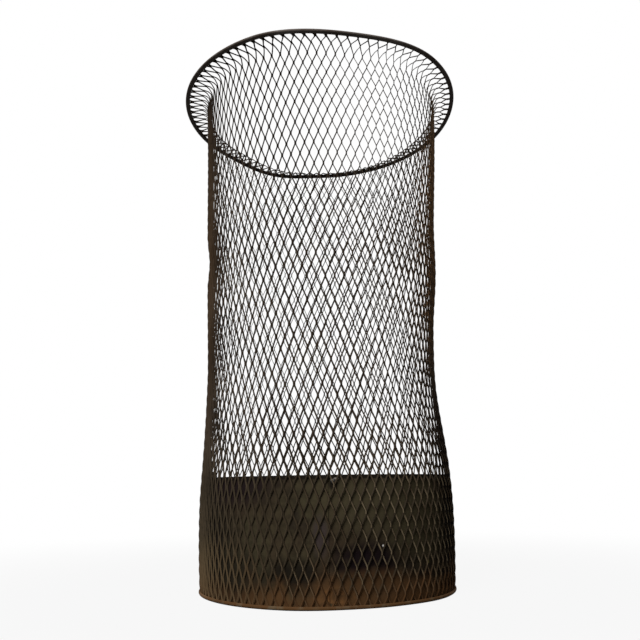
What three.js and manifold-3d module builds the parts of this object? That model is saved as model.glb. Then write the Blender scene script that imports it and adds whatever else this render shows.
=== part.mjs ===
// Wastebasket of expanded sheet steel: a diamond-mesh sleeve with a flared, bound mouth,
// a solid skirt band and floor inside its foot, and a rolled ring that it stands on.
// Millimetres, +Z up, origin at the middle of the foot ring's underside, front along -Y.
import * as THREE from 'three';
import { mergeVertices } from 'three/addons/utils/BufferGeometryUtils.js';
import Module from 'manifold-3d';

const wasm = await Module();
wasm.setup();

// Outline of the basket: heights from the ground, diameters over the outside
const HEIGHT = 508;
const RIM_DIAMETER = 304.8;
const NECK_DIAMETER = 253.4;
const WAIST_DIAMETER = 230.5;
const WAIST_HEIGHT = 204;
const BELLY_DIAMETER = 245;
const BELLY_HEIGHT = 70;
const FOOT_DIAMETER = 243;

// How far the basket stands turned to the right about its axis
const STANDING_TURN_DEGREES = 2.7;

// Lengths over which the wall eases into its belly, waist and neck, and the bend under the flare
const BELLY_BLEND = 45;
const WAIST_BLEND = 42;
const NECK_BLEND = 25;
const FLARE_BEND_RADIUS = 8;

// Expanded sheet. The lattice is drawn coarse: one diamond stands for a patch of the fine mesh
// with the same proportions, and the strands hold about the same steel.
const SHEET_THICKNESS = 1.1;
const STRAND_WIDTH = 5.2;
const DIAMOND_LENGTH = 80;
const DIAMONDS_AROUND = 24;

// Rolled binding on the mouth
const RIM_BEAD = 2.8;
const RIM_DEPTH = 4.6;
const RIM_WALL = 1.2;

// Skirt band inside the foot of the sleeve
const SKIRT_HEIGHT = 104;
const SKIRT_THICKNESS = 0.8;
const HEM_DEPTH = 10;

// Rivet through the hem
const RIVET_HEAD_DIAMETER = 4.2;
const RIVET_HEAD_HEIGHT = 1.2;
const RIVET_SHANK_DIAMETER = 2;
const RIVET_TAIL_DIAMETER = 3.4;
const RIVET_TAIL_HEIGHT = 0.7;

// Floor with its flange turned down into the foot ring
const FLOOR_HEIGHT = 12;
const FLOOR_THICKNESS = 0.8;
const FLOOR_BEND_RADIUS = 3;

// Rolled ring under the basket
const FOOT_HEIGHT = 3.2;
const FOOT_WALL = 0.9;
const FOOT_EDGE_RADIUS = 1.4;

// Clearance between pieces that touch
const SEAT_GAP = 0.3;

// Smoothness of the round stretches
const BEND_STEPS = 3;
const ARC_STEPS = 3;
const RIVET_SEGMENTS = 16;

// A strand takes no corner this near to its ends, as a share of its length
const STRAND_END_SHARE = 0.01;

// Round pieces and the mesh share one set of facets, so that they stay parallel
const FACETS = 2 * DIAMONDS_AROUND;
const FACET_ANGLE = 2 * Math.PI / FACETS;
const FRONT = -Math.PI / 2;

// Where the sheet edges sit in the foot ring and in the rim
const sheetHalf = SHEET_THICKNESS / 2;
const footRadius = FOOT_DIAMETER / 2 - FOOT_WALL - SEAT_GAP - sheetHalf;
const footEdge = FOOT_WALL + SEAT_GAP;
const footGrip = FOOT_HEIGHT - footEdge;
const rimHeight = HEIGHT - RIM_BEAD / 2;
const rimEdge = RIM_DIAMETER / 2 - RIM_WALL - SEAT_GAP;
const rimGrip = RIM_DEPTH - RIM_WALL - SEAT_GAP;
const neck = NECK_DIAMETER / 2 - sheetHalf;

// The bend under the flare ends before the flat edge that the rim grips
const flareBend = Math.min(FLARE_BEND_RADIUS, rimEdge - rimGrip - neck);

// Middle of the sheet from its lower edge to its outer edge, as radius and height
function sheetPath() {
  const belly = BELLY_DIAMETER / 2 - sheetHalf;
  const waist = WAIST_DIAMETER / 2 - sheetHalf;
  const neckHeight = rimHeight - flareBend;
  const path = new THREE.Path();
  path.moveTo(footRadius, footEdge);
  path.lineTo(footRadius, FOOT_HEIGHT);
  path.quadraticCurveTo(belly, (FOOT_HEIGHT + BELLY_HEIGHT) / 2, belly, BELLY_HEIGHT);
  path.bezierCurveTo(
    belly, BELLY_HEIGHT + BELLY_BLEND, waist, WAIST_HEIGHT - WAIST_BLEND, waist, WAIST_HEIGHT);
  path.bezierCurveTo(
    waist, WAIST_HEIGHT + WAIST_BLEND, neck, neckHeight - NECK_BLEND, neck, neckHeight);
  path.absarc(neck + flareBend, neckHeight, flareBend, Math.PI, Math.PI / 2, true);
  path.lineTo(rimEdge, rimHeight);
  return path;
}

const sheet = sheetPath();
const sheetLength = sheet.getLength();
const bendEnd = sheetLength - (rimEdge - neck - flareBend);
const bendStart = bendEnd - flareBend * Math.PI / 2;

// Rows of mesh joints along the sheet, the first and last gripped by the foot ring and the rim
const rowCount = Math.round(sheetLength / (DIAMOND_LENGTH / 2));
const firstRow = footGrip / 2;
const lastRow = sheetLength - rimGrip / 2;
const rowPitch = (lastRow - firstRow) / rowCount;
const rows = Array.from({ length: rowCount + 1 }, (_, row) => firstRow + row * rowPitch);

// Stations where the sheet's outline changes direction: every row, the foot ring's top and the bend
const bendStations = Array.from(
  { length: BEND_STEPS + 1 }, (_, step) => THREE.MathUtils.lerp(bendStart, bendEnd, step / BEND_STEPS));
const stations = [0, footGrip, ...rows, ...bendStations, sheetLength]
  .sort((a, b) => a - b)
  .map((distance) => {
    const point = sheet.getPoint(distance / sheetLength);
    const tangent = sheet.getTangent(distance / sheetLength);
    return { distance, radius: point.x, height: point.y, outX: tangent.y, outZ: -tangent.x };
  });

// Straight from station to station, by any one of their values
function between(key, value) {
  const last = stations.length - 1;
  const found = stations.findIndex((station) => station[key] >= value);
  const upper = found < 0 ? last : Math.max(found, 1);
  const low = stations[upper - 1];
  const high = stations[upper];
  const share = (value - low[key]) / (high[key] - low[key]);
  const blend = (name) => THREE.MathUtils.lerp(low[name], high[name], share);
  return {
    radius: blend('radius'), height: blend('height'), outX: blend('outX'), outZ: blend('outZ'),
  };
}

// Shrinks a corner radius to the flat facet at an angle round the basket
function onFacet(radius, angle) {
  const turn = THREE.MathUtils.euclideanModulo(angle - FRONT, FACET_ANGLE);
  return radius * Math.cos(FACET_ANGLE / 2) / Math.cos(turn - FACET_ANGLE / 2);
}

// The hem is the band's sheet folded double
const hemThickness = 2 * SKIRT_THICKNESS;
const hemFoot = SKIRT_HEIGHT - HEM_DEPTH;

// Rows whose joints stand over the front: the ones that leave the widest gap round the rivet
const rivetHeight = SKIRT_HEIGHT - HEM_DEPTH / 2;
const rowHeights = rows.map((distance) => between('distance', distance).height);
const nearestRow = rowHeights
  .map((height) => Math.abs(height - rivetHeight))
  .reduce((best, gap, row, gaps) => (gap < gaps[best] ? row : best), 0);
const frontParity = (nearestRow + 1) % 2;

// Half sizes of a joint where four strands meet: along the sheet and round the basket
function jointSize(row) {
  const radius = between('distance', rows[row]).radius;
  const halfDiamond = Math.PI * radius / DIAMONDS_AROUND;
  const strandLength = Math.hypot(halfDiamond, rowPitch);
  const gripped = { 0: footGrip / 2, [rowCount]: rimGrip / 2 };
  const along = gripped[row] ?? STRAND_WIDTH * strandLength / (2 * halfDiamond);
  const around = (STRAND_WIDTH * strandLength - along * halfDiamond) / rowPitch;
  return { along, turn: around / radius };
}

// Sleeve: joints and strands laid on the facets, each with an outer and an inner face
function sleeveGeometry() {
  const positions = [];
  const triangles = [];

  const addCorner = (angle, distance) => {
    const at = between('distance', distance);
    for (const side of [sheetHalf, -sheetHalf]) {
      const radius = onFacet(at.radius + side * at.outX, angle);
      positions.push(radius * Math.cos(angle), radius * Math.sin(angle), at.height + side * at.outZ);
    }
    return { angle, distance, index: positions.length / 3 - 2 };
  };
  const addFace = (a, b, c) => {
    triangles.push(a.index, b.index, c.index);
    triangles.push(a.index + 1, c.index + 1, b.index + 1);
  };
  const addWall = (a, b) => {
    triangles.push(a.index, a.index + 1, b.index + 1);
    triangles.push(a.index, b.index + 1, b.index);
  };

  const joints = rows.map((distance, row) => {
    const { along, turn } = jointSize(row);
    const parity = (row + frontParity) % 2;
    return Array.from({ length: DIAMONDS_AROUND }, (_, column) => {
      const angle = FRONT + (2 * column + parity) * FACET_ANGLE;
      return {
        down: addCorner(angle, distance - along),
        right: addCorner(angle + turn, distance),
        up: addCorner(angle, distance + along),
        left: addCorner(angle - turn, distance),
      };
    });
  });

  joints.forEach((ring, row) => {
    for (const { down, right, up, left } of ring) {
      addFace(down, right, up);
      addFace(down, up, left);
      if (row === 0) {
        addWall(left, down);
        addWall(down, right);
      }
      if (row === rowCount) {
        addWall(right, up);
        addWall(up, left);
      }
    }
  });

  // One edge of a strand, with a corner at each station that it passes
  const strandEdge = (from, to, shares) => {
    const lap = 2 * Math.PI * Math.round((to.angle - from.angle) / (2 * Math.PI));
    const passed = shares.map((share) => addCorner(
      THREE.MathUtils.lerp(from.angle, to.angle - lap, share),
      THREE.MathUtils.lerp(from.distance, to.distance, share)));
    return [from, ...passed, to];
  };
  const addStrand = (right, left) => {
    for (let step = 1; step < right.length; step += 1) {
      addFace(right[step - 1], right[step], left[step]);
      addFace(right[step - 1], left[step], left[step - 1]);
      addWall(right[step - 1], right[step]);
      addWall(left[step], left[step - 1]);
    }
  };

  for (let row = 0; row < rowCount; row += 1) {
    const shares = stations
      .map(({ distance }) => (distance - rows[row]) / rowPitch)
      .filter((share) => share > STRAND_END_SHARE && share < 1 - STRAND_END_SHARE);
    const parity = (row + frontParity) % 2;
    for (let column = 0; column < DIAMONDS_AROUND; column += 1) {
      const from = joints[row][column];
      const toRight = joints[row + 1][(column + parity) % DIAMONDS_AROUND];
      const toLeft = joints[row + 1][(column + parity + DIAMONDS_AROUND - 1) % DIAMONDS_AROUND];
      addStrand(
        strandEdge(from.right, toRight.down, shares), strandEdge(from.up, toRight.left, shares));
      addStrand(
        strandEdge(from.up, toLeft.right, shares), strandEdge(from.left, toLeft.down, shares));
    }
  }

  const geometry = new THREE.BufferGeometry();
  geometry.setAttribute('position', new THREE.Float32BufferAttribute(positions, 3));
  geometry.setIndex(triangles);
  geometry.computeVertexNormals();
  return geometry;
}

// Solid of revolution about +Z from a profile of radius and height
function turned(path) {
  return new THREE.LatheGeometry(path.getPoints(ARC_STEPS), FACETS).rotateX(Math.PI / 2);
}

// Rim: a bead with a round outside, slotted for the edge of the flare
function rimGeometry() {
  const outer = RIM_DIAMETER / 2;
  const inner = outer - RIM_DEPTH;
  const half = RIM_BEAD / 2;
  const slotHalf = sheetHalf + SEAT_GAP;
  const slotEnd = outer - RIM_WALL;
  const path = new THREE.Path();
  path.moveTo(inner, rimHeight - half);
  path.lineTo(outer - half, rimHeight - half);
  path.absarc(outer - half, rimHeight, half, -Math.PI / 2, Math.PI / 2, false);
  path.lineTo(inner, rimHeight + half);
  path.lineTo(inner, rimHeight + slotHalf);
  path.lineTo(slotEnd, rimHeight + slotHalf);
  path.lineTo(slotEnd, rimHeight - slotHalf);
  path.lineTo(inner, rimHeight - slotHalf);
  path.closePath();
  return turned(path);
}

// Outer face of the skirt band, a clearance inside the sleeve
function skirtFace(height) {
  return between('height', height).radius - sheetHalf - SEAT_GAP;
}

// Closed mesh as a solid that can be cut
function toSolid(geometry) {
  const bare = geometry.clone();
  bare.deleteAttribute('normal');
  bare.deleteAttribute('uv');
  const merged = mergeVertices(bare);
  return new wasm.Manifold(new wasm.Mesh({
    numProp: 3,
    vertProperties: new Float32Array(merged.attributes.position.array),
    triVerts: new Uint32Array(merged.index.array),
  }));
}

function toGeometry(solid) {
  const mesh = solid.getMesh();
  const geometry = new THREE.BufferGeometry();
  geometry.setAttribute('position', new THREE.Float32BufferAttribute(mesh.vertProperties, 3));
  geometry.setIndex([...mesh.triVerts]);
  geometry.computeVertexNormals();
  return geometry;
}

// Skirt: follows the sleeve up to a hem folded inwards, with a hole for the rivet
function skirtGeometry() {
  const heights = stations
    .map(({ height }) => height)
    .filter((height) => height < hemFoot);
  const wallHeights = [...heights, hemFoot, SKIRT_HEIGHT];
  const outside = wallHeights.map((height) => new THREE.Vector2(skirtFace(height), height));
  const inside = [...heights, hemFoot]
    .map((height) => new THREE.Vector2(skirtFace(height) - SKIRT_THICKNESS, height));
  const hem = [SKIRT_HEIGHT, hemFoot]
    .map((height) => new THREE.Vector2(skirtFace(height) - hemThickness, height));
  const profile = [...outside, ...hem, ...inside.reverse(), outside[0]];
  const band = new THREE.LatheGeometry(profile, FACETS).rotateX(Math.PI / 2);
  const holeRadius = RIVET_SHANK_DIAMETER / 2 + SEAT_GAP;
  const holeLength = 3 * hemThickness;
  const hole = new THREE.CylinderGeometry(holeRadius, holeRadius, holeLength, RIVET_SEGMENTS)
    .translate(0, hemThickness / 2 - skirtFace(rivetHeight), rivetHeight);
  return toGeometry(toSolid(band).subtract(toSolid(hole)));
}

// Rivet along +Y from its tail inside the hem to its round head outside
function rivetGeometry() {
  const headSeat = SEAT_GAP;
  const tailSeat = -hemThickness - SEAT_GAP;
  const tailEnd = tailSeat - RIVET_TAIL_HEIGHT;
  const shank = RIVET_SHANK_DIAMETER / 2;
  const head = RIVET_HEAD_DIAMETER / 2;
  const path = new THREE.Path();
  path.moveTo(0, tailEnd);
  path.lineTo(RIVET_TAIL_DIAMETER / 2, tailEnd);
  path.lineTo(RIVET_TAIL_DIAMETER / 2, tailSeat);
  path.lineTo(shank, tailSeat);
  path.lineTo(shank, headSeat);
  path.lineTo(head, headSeat);
  path.absellipse(0, headSeat, head, RIVET_HEAD_HEIGHT, 0, Math.PI / 2, false, 0);
  const points = path.getPoints(ARC_STEPS);
  points[points.length - 1].x = 0;
  return new THREE.LatheGeometry(points, RIVET_SEGMENTS);
}

// Floor: fits inside the skirt at the foot ring and at its own height
const skirtInside = Math.min(skirtFace(footEdge), skirtFace(FLOOR_HEIGHT)) - SKIRT_THICKNESS;
const floorRadius = skirtInside - SEAT_GAP;

function floorGeometry() {
  const bend = FLOOR_BEND_RADIUS;
  const inner = floorRadius - FLOOR_THICKNESS;
  const under = FLOOR_HEIGHT - FLOOR_THICKNESS;
  const bendRadius = floorRadius - bend;
  const bendHeight = FLOOR_HEIGHT - bend;
  const path = new THREE.Path();
  path.moveTo(0, under);
  path.lineTo(bendRadius, under);
  path.absarc(bendRadius, bendHeight, bend - FLOOR_THICKNESS, Math.PI / 2, 0, true);
  path.lineTo(inner, footEdge);
  path.lineTo(floorRadius, footEdge);
  path.lineTo(floorRadius, bendHeight);
  path.absarc(bendRadius, bendHeight, bend, 0, Math.PI / 2, false);
  path.lineTo(0, FLOOR_HEIGHT);
  return turned(path);
}

// Foot ring: a channel round the lower edges of sleeve, skirt and floor, flat underneath
function footGeometry() {
  const outer = FOOT_DIAMETER / 2;
  const inner = floorRadius - FLOOR_THICKNESS - SEAT_GAP - FOOT_WALL;
  const edge = FOOT_EDGE_RADIUS;
  const path = new THREE.Path();
  path.moveTo(inner + edge, 0);
  path.lineTo(outer - edge, 0);
  path.absarc(outer - edge, edge, edge, -Math.PI / 2, 0, false);
  path.lineTo(outer, FOOT_HEIGHT);
  path.lineTo(outer - FOOT_WALL, FOOT_HEIGHT);
  path.lineTo(outer - FOOT_WALL, FOOT_WALL);
  path.lineTo(inner + FOOT_WALL, FOOT_WALL);
  path.lineTo(inner + FOOT_WALL, FOOT_HEIGHT);
  path.lineTo(inner, FOOT_HEIGHT);
  path.lineTo(inner, edge);
  path.absarc(inner + edge, edge, edge, Math.PI, 3 * Math.PI / 2, false);
  path.closePath();
  return turned(path);
}

function piece(name, geometry, color, roughness, metalness) {
  const mesh = new THREE.Mesh(
    geometry, new THREE.MeshStandardMaterial({ color, roughness, metalness }));
  mesh.name = name;
  return mesh;
}

const basket = new THREE.Group();
basket.add(piece('mesh_sleeve', sleeveGeometry(), 0x2b2621, 0.6, 0.6));
basket.add(piece('rim_channel', rimGeometry(), 0x2a2724, 0.45, 0.7));
basket.add(piece('skirt_band', skirtGeometry(), 0x393226, 0.7, 0.5));
basket.add(piece('floor_pan', floorGeometry(), 0x3b342a, 0.75, 0.5));
basket.add(piece('foot_ring', footGeometry(), 0x4f3c2b, 0.7, 0.5));

const rivet = piece('lap_rivet', rivetGeometry(), 0x6b665f, 0.5, 0.7);
rivet.rotation.z = Math.PI;
rivet.position.set(0, -skirtFace(rivetHeight), rivetHeight);
basket.add(rivet);

// The basket stands turned, with its rivet a little to the right of the front
basket.rotation.z = THREE.MathUtils.degToRad(STANDING_TURN_DEGREES);

export default basket;
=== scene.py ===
import math

import bmesh
import bpy
import numpy as np
from mathutils import Euler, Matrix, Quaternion, Vector
from mathutils.geometry import interpolate_bezier


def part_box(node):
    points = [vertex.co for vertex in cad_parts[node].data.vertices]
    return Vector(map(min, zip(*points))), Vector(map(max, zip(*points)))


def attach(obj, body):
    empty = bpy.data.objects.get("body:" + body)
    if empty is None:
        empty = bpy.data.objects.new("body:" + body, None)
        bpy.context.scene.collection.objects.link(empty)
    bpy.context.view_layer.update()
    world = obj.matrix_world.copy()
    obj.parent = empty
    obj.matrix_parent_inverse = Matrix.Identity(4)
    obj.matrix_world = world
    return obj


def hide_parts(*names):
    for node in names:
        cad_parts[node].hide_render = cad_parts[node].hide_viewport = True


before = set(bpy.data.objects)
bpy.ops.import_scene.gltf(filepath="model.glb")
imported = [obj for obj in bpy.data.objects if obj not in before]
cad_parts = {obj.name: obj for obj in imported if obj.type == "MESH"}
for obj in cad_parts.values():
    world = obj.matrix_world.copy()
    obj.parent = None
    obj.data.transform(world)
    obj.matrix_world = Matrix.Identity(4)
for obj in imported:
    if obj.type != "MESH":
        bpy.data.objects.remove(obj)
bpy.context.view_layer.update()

# Sizes and places that the frame gives, in metres
rim_low, rim_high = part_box("rim_channel")
skirt_low, skirt_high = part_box("skirt_band")
floor_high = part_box("floor_pan")[1]
foot_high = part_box("foot_ring")[1]
rivet_low, rivet_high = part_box("lap_rivet")

RIM_RADIUS = rim_high[0]
RIM_HALF = (rim_high[2] - rim_low[2]) / 2
RIM_MIDDLE = rim_high[2] - RIM_HALF
SHEET_FOOT = skirt_low[2]
SKIRT_TOP = skirt_high[2]
FLOOR_RADIUS = floor_high[0]
FLOOR_TOP = floor_high[2]
FOOT_RADIUS = foot_high[0]
FOOT_TOP = foot_high[2]

# Rivet: its head, its height, how far it stands round from the front and how far out it reaches
RIVET_HEAD = (rivet_high[2] - rivet_low[2]) / 2
RIVET_HEIGHT = (rivet_high[2] + rivet_low[2]) / 2
RIVET_TURN = math.atan2(rivet_high[0] + rivet_low[0], -rivet_high[1] - rivet_low[1])
RIVET_OUTSIDE = -rivet_low[1] / math.cos(RIVET_TURN)

# Directions and plain values
FRONT = -math.pi / 2
FULL_TURN = 2 * math.pi
UP = (0, 0, 1)
MIDDLE = (0, 0, 0)
WHITE = (1, 1, 1, 1)

# Modelling: what counts as one point, the plane that becomes a profile's first point, how near a face has
# to look along an axis, across it or level, and the angles below which edges are shaded smooth
MERGE_REACH = 0.00002
STARTER_SIZE = 0.001
FACES_ALONG, FACES_ACROSS, FACES_LEVEL = 0.9, 0.5, 0.05
SHEET_SMOOTH = math.radians(40)
STRAND_SMOOTH = math.radians(30)

# Wall of the basket: the middle of the sheet at its foot, belly, waist and neck, and how it eases into them
FOOT_SHEET_INSET = 0.00175
FOOT_SHEET_RADIUS = FOOT_RADIUS - FOOT_SHEET_INSET
BELLY_RADIUS, BELLY_HEIGHT, BELLY_EASE = 0.12195, 0.070, 0.045
WAIST_RADIUS, WAIST_HEIGHT, WAIST_EASE = 0.11470, 0.204, 0.042
NECK_RADIUS, NECK_EASE = 0.12615, 0.025
FLARE_BEND = 0.008
NECK_HEIGHT = RIM_MIDDLE - FLARE_BEND
RIM_GRIP = 0.0015
SHEET_END = RIM_RADIUS - RIM_GRIP
CURVE_POINTS = 60
FLARE_STEPS = 16

# Expanded steel: strands slit and drawn out into diamonds, each turned on edge like a louver
DIAMONDS_AROUND = 89
DIAMOND_WIDTH = 0.0085
DIAMOND_LENGTH = 0.02136
SPARE_ROWS = 2
STRAND_WIDTH = 0.00105
STRAND_THICKNESS = 0.00061
STRAND_LEAN = math.radians(58)
BOND_LENGTH = 0.0024

# How far the last bonds lie from the sheet's edge in the rim, the share of its depth that the crimps at
# rim and foot leave, and where the flare is creased, as shares of its bend
EDGE_BOND = 0.0058
CRIMP_SQUEEZE = 0.32
FLARE_CREASES = (0, 0.33, 0.67, 1)

# Sheet is rolled flatter towards the waist: its share of the full depth, by distance along it from the foot
FLAT_DISTANCES, FLAT_SHARES = (0.09, 0.13, 0.23, 0.30), (0.92, 0.79, 0.78, 1.0)

# Enamel that ran down the strands and pooled above the skirt: its thicknesses and their heights
COAT_THICKNESS = 0.00010
COAT_FROM, COAT_FULL = 0.48, 0.12
POOL_THICKNESS = 0.00008
POOL_FROM, POOL_FULL, POOL_END = 0.163, 0.140, 0.085

# Enamel gathered towards the rim, least at the front right, and reaches furthest in at the back
RIM_COAT_TURNS = tuple(math.radians(turn) for turn in (-180, -120, -60, 0, 12, 44, 62, 120, 180))
RIM_COATS = (0.00035, 0.00045, 0.00045, 0.00040, 0.00010, 0.00010, 0.00045, 0.00045, 0.00035)
RIM_COAT_REACH_TURNS, RIM_COAT_REACHES = (math.radians(60), math.radians(130)), (0.007, 0.020)

# Enamel lies thicker on the front strands up to a height, and thinner at the back; it changes from one to
# the other over the middle of the basket
FRONT_COAT, BACK_COAT = 0.00008, -0.00007
FRONT_COAT_HALF = 0.05
FRONT_COAT_FULL, FRONT_COAT_END = 0.33, 0.38

# Strands on the right side are rubbed slimmer
RIGHT_RUB = 0.00006
RUB_FROM, RUB_FULL = 0.088, 0.106

# Rows of diamonds stand turned at the foot, twist one way at the waist and the other way to the mouth
MESH_TURN = math.radians(-0.72)
WAIST_TWIST = math.radians(1.3)
WAIST_TWIST_FROM, WAIST_TWIST_FULL = 0.10, 0.19
MOUTH_TWIST = math.radians(-2.0)
MOUTH_TWIST_FROM, MOUTH_TWIST_FULL = 0.25, 0.50

# Rolled rim: a bead, drawn as an arc by degrees, and two lips; it stands more open at the back by a share
RIM_DEPTH = 0.0046
RIM_LIP_RADIUS = RIM_RADIUS - RIM_DEPTH
RIM_WALL = 0.0012
RIM_SLOT = 0.0005
RIM_LIP = 0.0005
RIM_OPEN = 0.42
BEAD_HALF_TURN = 110
BEAD_STEPS = 12
RIM_STEPS = 180

# Skirt band: set inside the wall, folded to a hem at its top, tucked behind its own edge at the lap
SKIRT_SET = 0.0013
SKIRT_THICKNESS = 0.0007
SKIRT_STATIONS = 14
SKIRT_STEPS = 150
HEM_DEPTH = 0.010
HEM_FOLD = 0.0017
HEM_STEPS = 6
LAP_START = math.radians(0.7)
LAP_TUCK = 0.0009
LAP_RAMP = math.radians(30)
LAP_LENGTH = math.radians(6)
RAMP_STEPS = 12
LAP_STEPS = 3

# Floor pan, with its flange turned down
FLOOR_THICKNESS = 0.0008
FLOOR_BEND = 0.003
FLOOR_BEND_STEPS = 5
FLOOR_STEPS = 120

# Rolled foot ring: its lip is an arc by degrees, pressed in
FOOT_WALL = 0.0009
FOOT_EDGE = 0.0014
FOOT_EDGE_STEPS = 5
FOOT_LIP_TURN = 70
FOOT_LIP_STEPS = 4
FOOT_CLEARANCE = 0.0003
FOOT_INNER = FLOOR_RADIUS - FLOOR_THICKNESS - FOOT_WALL - FOOT_CLEARANCE
FOOT_STEPS = 180

# Rivet: its shank and tail, and the points of its round head by degrees
RIVET_SHANK = 0.0010
RIVET_TAIL = 0.0017
RIVET_TAIL_HEIGHT = 0.0007
RIVET_HEAD_TURNS = (20, 40, 60, 75, 90)
RIVET_STEPS = 24

# How far a hand-made basket strays from round: the waist leans to the left, the neck to the right,
# and the mouth is a little oval, bowed, lower at the back and dented at two places, each with its
# turn to the right of the front, its reach and its depth
WAIST_LEAN = -0.0030
WAIST_LEAN_FROM, WAIST_LEAN_TO = 0.200, 0.225
NECK_LEAN = 0.0008
NECK_LEAN_FROM, NECK_LEAN_FULL = 0.36, 0.47
MOUTH_SQUEEZE = 0.013
MOUTH_SOFT = 0.43
MOUTH_TILT = 0.0024
MOUTH_BOW = 0.0010
MOUTH_DENTS = (
    (math.radians(12), math.radians(38), 0.0057),
    (math.radians(-154), math.radians(26), 0.0042),
)

# Mouth is squarer on its right side
MOUTH_SQUARE = 0.0009

# Neck sags at the back, a little to the right, so that the flange there rises to the rim
NECK_SAG_TURN, NECK_SAG_REACH, NECK_SAG = math.radians(166), math.radians(62), 0.0058

# Wall is pushed in on the left and out on the right: turn, reach, height, reach upwards and push
WALL_DENTS = (
    (math.radians(-90), math.radians(60), 0.322, 0.030, -0.0024),
    (math.radians(90), math.radians(60), 0.305, 0.060, 0.0024),
)

# Foot ring is bent up a little at the front right, with the sheets in it
FOOT_LIFT_TURN, FOOT_LIFT = math.radians(22), 0.0007
FOOT_LIFT_FLAT, FOOT_LIFT_REACH = math.radians(8), math.radians(38)

# Colours of enamel, rust and steel, and of painted light and shade, in linear light
OLIVE_ENAMEL = (0.054, 0.0440, 0.0240, 1)
OLIVE_TAN = (0.057, 0.0430, 0.0245, 1)
PALE_OLIVE = (0.064, 0.0520, 0.0285, 1)
BROWN_ENAMEL = (0.046, 0.0315, 0.0190, 1)
BLACK_ENAMEL_AND_SHADE = (0.0085, 0.0066, 0.0052, 1)
INNER_BLACK = (0.0050, 0.0036, 0.0028, 1)
SEPIA_ENAMEL = (0.056, 0.0410, 0.0285, 1)
DARK_SEPIA = (0.025, 0.0190, 0.0140, 1)
VIOLET_STAIN = (0.0110, 0.0070, 0.0078, 1)
VIOLET_GREY = (0.0520, 0.0390, 0.0410, 1)
RUST_BROWN = (0.100, 0.0480, 0.0200, 1)
RUST_ORANGE = (0.170, 0.0800, 0.0300, 1)
RUST_DULL = (0.095, 0.0480, 0.0200, 1)
RUST_TAN_AND_HIGHLIGHT = (0.155, 0.0880, 0.0450, 1)
RUSSET_SIDE_LIGHT = (0.056, 0.0310, 0.0140, 1)
BRIGHT_RUSSET_SIDE_LIGHT = (0.112, 0.0610, 0.0280, 1)
RIM_SHEEN_GREY = (0.145, 0.1240, 0.1100, 1)
RIM_BROWN = (0.076, 0.0600, 0.0490, 1)
RIM_UNDER_SHADE = (0.088, 0.0720, 0.0620, 1)
WORN_TAN = (0.135, 0.1040, 0.0640, 1)
LIT_TAN = (0.112, 0.0780, 0.0420, 1)
BARE_STEEL_AND_HIGHLIGHT = (0.400, 0.3600, 0.3100, 1)
CHIP_WHITE = (0.800, 0.7700, 0.7200, 1)
CHIP_OCHRE = (0.260, 0.2100, 0.0800, 1)

# Gloss of the old enamel and of the rubbed rivet, detail of the fine bumps, and the full core of a spot
ENAMEL_GLOSS = 0.015
RIVET_GLOSS = 0.5
GRAIN_DETAIL = 5
SPOT_CORE = 0.35

# Rust that creeps up from the foot in blotches: their size and detail, the middle of the noise, the height
# over which they move the rust's edge, and the height at which it is full
RUST_BLOTCH, RUST_DETAIL, NOISE_MIDDLE = 0.022, 5, 0.5
RUST_STRAY = 0.05
RUST_FULL = 0.002

# Broad faces of the strands: patches by cloud size and by the noise levels where they start and are full,
# heights by where a tone starts and is full, and painted light and shade by place, half size, share and tone
STRAND_PATCHES = dict(size=0.050, detail=3, low=0.34, high=0.62)
STRAND_SPECKLE = dict(size=0.0035, detail=4, low=0.50, high=0.80)
STRAND_TAN_HEIGHTS = (0.16, 0.05)
STRAND_BLACK_HEIGHTS = (0.30, 0.46)
STRAND_RUST_TOP = 0.035
STRAND_DULLNESS = dict(least=0.55, more=0.25, size=0.006, detail=3)
STRAND_GRAIN = dict(size=0.0012, strength=0.25, depth=0.0002)
MESH_PAINTED_LIGHT_AND_SHADE = (
    # Painted light: russet on the strands at the left and right sides, brighter on the right
    ((-0.125, 0.000, 0.310), (0.040, 0.150, 0.260), 0.50, RUSSET_SIDE_LIGHT),
    ((0.125, 0.000, 0.330), (0.040, 0.150, 0.220), 0.90, BRIGHT_RUSSET_SIDE_LIGHT),
    # Painted shade on the strands at the right side and front right, away from the key lamp
    ((0.119, -0.025, 0.090), (0.038, 0.110, 0.150), 0.90, INNER_BLACK),
    ((0.085, -0.085, 0.150), (0.045, 0.060, 0.060), 0.60, BLACK_ENAMEL_AND_SHADE),
    ((0.045, -0.110, 0.048), (0.080, 0.080, 0.062), 0.38, BLACK_ENAMEL_AND_SHADE),
)
# Painted light on the strands at the lower left
MESH_LOW_LEFT_LIGHT = ((-0.095, -0.075, 0.018), (0.075, 0.090, 0.045), 0.75, LIT_TAN)

# Slit edges of the strands: worn in patches, less so over a patch at the front left, where shade is painted
EDGE_WEAR = dict(size=0.014, detail=4, low=0.36, high=0.62)
EDGE_SHADE_PLACE, EDGE_SHADE_REACH, EDGE_SHADE_SHARE = (-0.030, -0.118, 0.075), (0.062, 0.060, 0.055), 0.8
EDGE_RUST_TOP = 0.040
EDGE_SEPIA_HEIGHTS = (0.09, 0.13)
EDGE_DULLNESS = dict(least=0.50, more=0.20, size=0.004, detail=3)

# Rim: its lips and the inner side of the bead have a darker tone of painted shade, the bead's painted sheen
# goes in from the outside by a distance, and the back is black
RIM_PATCHES = dict(size=0.030, detail=4, low=0.35, high=0.65)
RIM_CHIPS = dict(size=0.003, detail=3, low=0.69, high=0.75)
BEAD_TONE_FROM, BEAD_TONE_FULL = 0.0042, 0.0026
RIM_FAR_SIDE = ((0, 0.160, RIM_MIDDLE), (0.240, 0.220, 0.100), 1, INNER_BLACK)
RIM_DULLNESS = dict(least=0.38, more=0.25, size=0.008, detail=4)
RIM_GRAIN = dict(size=0.0015, strength=0.2, depth=0.0002)
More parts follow.
